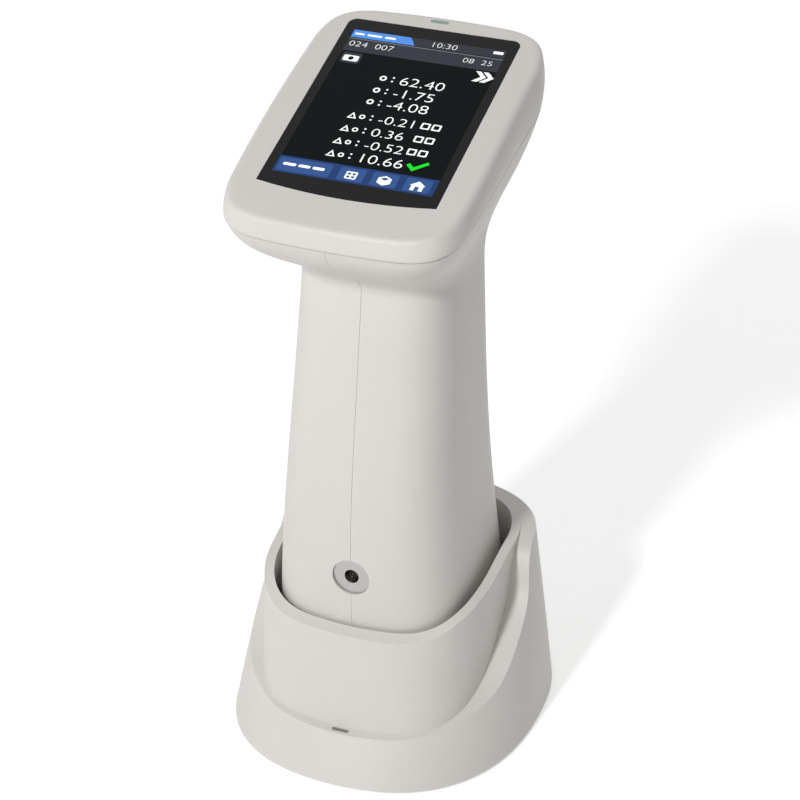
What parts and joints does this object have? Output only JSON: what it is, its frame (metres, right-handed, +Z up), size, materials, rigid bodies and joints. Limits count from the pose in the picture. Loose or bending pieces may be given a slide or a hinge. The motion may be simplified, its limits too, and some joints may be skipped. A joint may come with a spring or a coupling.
{
  "type": "handheld spectrophotometer in its charging and calibration cradle",
  "caption": "Upright handheld colour-measuring instrument with a sloping touch screen head, standing in a low charging cradle from which it lifts out.",
  "frame": {"origin": "centre of the cradle's footprint on the table", "axes": "+Z up, the screen faces -Y and up, +X to the right seen from the screen side"},
  "size_m": [0.108, 0.1224, 0.2409],
  "materials": {
    "shell": "fine matt texture, warm light grey",
    "cradle": "fine matt texture, warm light grey",
    "rubber": "matt",
    "inner_plastic": "matt, dark grey",
    "board": "satin green lacquer",
    "steel": "turned and bare",
    "aluminium": "machined",
    "glass": "polished, black border printed behind",
    "display": "lit colour display",
    "pipe": "clear, tinted",
    "contact": "plated",
    "tile": "white glaze, ceramic",
    "lens": "polished",
    "sphere": "white, matt inside",
    "cell": "sleeved"
  },
  "bodies": {
    "cradle": {"cradle_shell": "cradle", "cradle_feet": "rubber", "cradle_base_plate": "cradle", "cradle_screws": "steel", "cradle_board": "board", "cradle_light_pipe": "pipe", "cradle_power_socket": "steel", "cradle_seat": "inner_plastic", "tile_holder": "inner_plastic", "calibration_tile": "tile", "contact_block": "inner_plastic"},
    "instrument": {"grip_shell_left": "shell", "grip_shell_right": "shell", "casing_screws": "steel", "head_bezel": "shell", "touch_glass": "glass", "display_panel": "display", "status_light_pipe": "pipe", "main_board": "board", "board_screws": "steel", "data_socket": "steel", "power_switch_base": "inner_plastic", "buzzer": "inner_plastic", "threaded_insert": "steel", "bottom_cover": "inner_plastic", "bottom_screws": "steel", "charging_pads": "contact", "sphere_lower": "sphere", "sphere_upper": "sphere", "sphere_screws": "steel", "light_source": "board", "camera_module": "inner_plastic", "optics_chassis": "aluminium", "lens_barrel": "aluminium", "collecting_lens": "lens", "spectrometer_housing": "aluminium", "spectrometer_cover": "aluminium", "grating": "lens", "sensor_board": "board", "battery_frame": "inner_plastic", "battery_cells": "cell", "power_board": "board", "switch_board": "board"},
    "contact_pins": {"contact_pins": "contact"},
    "measure_button": {"measure_button": "shell"},
    "power_switch": {"power_switch": "inner_plastic"},
    "aperture_ring": {"aperture_ring": "inner_plastic"}
  },
  "joints": [
    {"name": "instrument_lift", "type": "slide", "parent": "cradle", "child": "instrument", "axis": [0, 0, 1], "range_m": [0, 0.12]},
    {"name": "contact_pins_press", "type": "slide", "parent": "cradle", "child": "contact_pins", "axis": [0, 0, -1], "range_m": [0, 0.001], "stiffness_N_per_m": 800, "springref_m": -0.001},
    {"name": "measure_button_press", "type": "slide", "parent": "instrument", "child": "measure_button", "axis": [0, -1, 0], "range_m": [0, 0.0012], "stiffness_N_per_m": 1000, "springref_m": -0.001},
    {"name": "power_switch_slide", "type": "slide", "parent": "instrument", "child": "power_switch", "axis": [1, 0, 0], "range_m": [0, 0.003]},
    {"name": "aperture_ring_twist", "type": "hinge", "parent": "instrument", "child": "aperture_ring", "pos_m": [0, 0, 0.014], "axis": [0, 0, 1], "range_deg": [0, 30]}
  ]
}
